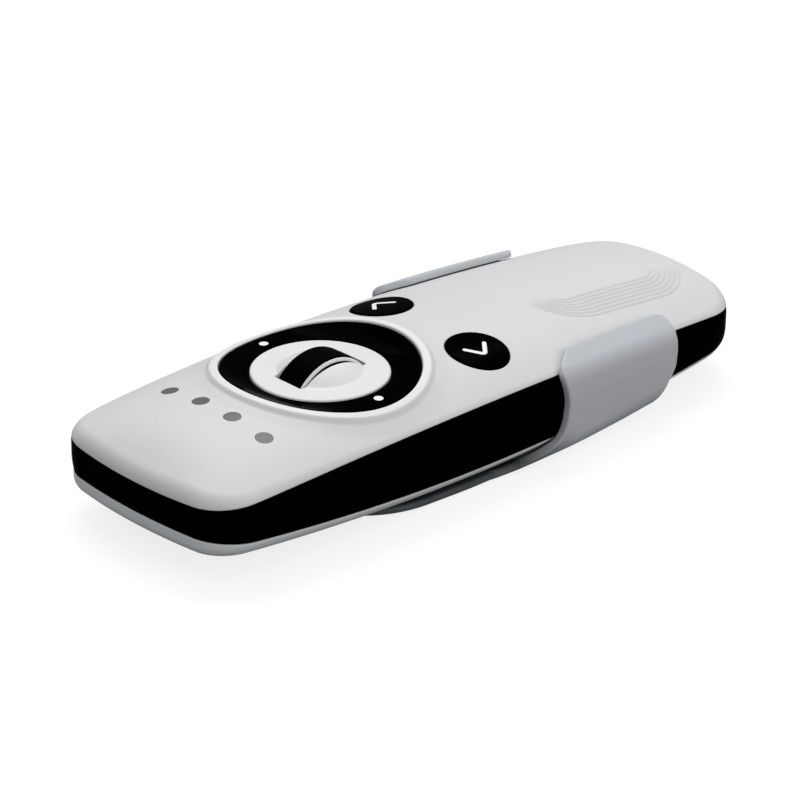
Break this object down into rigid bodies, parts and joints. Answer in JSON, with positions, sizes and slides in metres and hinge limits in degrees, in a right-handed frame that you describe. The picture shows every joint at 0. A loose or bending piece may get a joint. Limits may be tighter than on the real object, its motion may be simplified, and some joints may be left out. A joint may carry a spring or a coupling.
{
  "type": "smart home remote control",
  "caption": "Pocket remote with a scroll wheel pad, rocker ring and round keys, lying in a clip-on wall holder that it slides out of.",
  "frame": {"origin": "centre of the holder's flat back, under the middle of the handset's length, on the wall face", "axes": "+Z out of the wall through the keys, +Y along the handset towards its far end, away from the status windows, +X to the right"},
  "size_m": [0.0516, 0.1342, 0.0242],
  "materials": {
    "pearl_grey_plastic": "fine matt, pale grey",
    "satin_grey_plastic": "satin, light grey",
    "gloss_black_plastic": "high gloss, black",
    "pale_pad_plastic": "satin, very pale grey",
    "white_inlay": "white, flush inlay",
    "black_rubber": "smooth, black",
    "smoked_window": "translucent grey, satin",
    "inner_plastic": "moulded, as made",
    "silicone": "translucent",
    "bright_steel": "bright",
    "lamp_white": "small lamp body",
    "green_board": "solder mask",
    "chip_black": "moulded package"
  },
  "bodies": {
    "holder": {"holder": "satin_grey_plastic"},
    "handset": {"top_shell": "pearl_grey_plastic", "side_band": "gloss_black_plastic", "bottom_shell": "satin_grey_plastic", "circuit_board": "green_board", "controller_chip": "chip_black", "radio_chip": "chip_black", "crystal_can": "bright_steel", "antenna_coil": "chip_black", "smoothing_capacitor": "bright_steel", "status_leds": "lamp_white", "light_guides": "smoked_window", "ring_switches": "chip_black", "prog_switch": "chip_black", "coin_cell": "bright_steel", "cell_holder": "inner_plastic", "cell_plus_contact": "bright_steel", "cell_minus_contact": "bright_steel", "case_screws": "bright_steel", "left_key_dome": "silicone", "right_key_dome": "silicone", "pad_domes": "silicone"},
    "battery_cap": {"battery_cap": "satin_grey_plastic"},
    "pad": {"pad_disc": "pale_pad_plastic", "wheel_yoke": "inner_plastic", "wheel_encoder": "inner_plastic"},
    "wheel": {"wheel_hub": "pale_pad_plastic", "wheel_tyre": "black_rubber", "wheel_axle": "bright_steel"},
    "rocker_ring": {"rocker_ring": "gloss_black_plastic", "ring_marks": "white_inlay"},
    "left_button": {"left_button": "gloss_black_plastic", "left_chevron": "white_inlay"},
    "right_button": {"right_button": "gloss_black_plastic", "right_chevron": "white_inlay"},
    "prog_button": {"prog_button": "satin_grey_plastic"}
  },
  "joints": [
    {"name": "handset_slide", "type": "slide", "parent": "holder", "child": "handset", "axis": [0, -1, 0], "range_m": [0, 0.06]},
    {"name": "battery_cap_turn", "type": "hinge", "parent": "handset", "child": "battery_cap", "pos_m": [0, 0.00287, 0.003], "axis": [0, 0, 1], "range_deg": [0, 60]},
    {"name": "pad_press", "type": "slide", "parent": "handset", "child": "pad", "axis": [0, 0, -1], "range_m": [0, 0.0005], "stiffness_N_per_m": 2000, "springref_m": -0.0005, "deforming": ["pad_domes"]},
    {"name": "wheel_spin", "type": "hinge", "parent": "pad", "child": "wheel", "pos_m": [0, -0.02312, 0.0142], "axis": [1, 0, 0], "continuous": true},
    {"name": "ring_rock", "type": "hinge", "parent": "handset", "child": "rocker_ring", "pos_m": [0, -0.02312, 0.0194], "axis": [0, 1, 0], "range_deg": [-1.6, 1.6], "stiffness_Nm_per_rad": 0.8},
    {"name": "left_press", "type": "slide", "parent": "handset", "child": "left_button", "axis": [0, 0, -1], "range_m": [0, 0.0005], "stiffness_N_per_m": 2000, "springref_m": -0.0005, "deforming": ["left_key_dome"]},
    {"name": "right_press", "type": "slide", "parent": "handset", "child": "right_button", "axis": [0, 0, -1], "range_m": [0, 0.0005], "stiffness_N_per_m": 2000, "springref_m": -0.0005, "deforming": ["right_key_dome"]},
    {"name": "prog_press", "type": "slide", "parent": "handset", "child": "prog_button", "axis": [0, 0, 1], "range_m": [0, 0.0005], "stiffness_N_per_m": 2000, "springref_m": -0.0005}
  ]
}
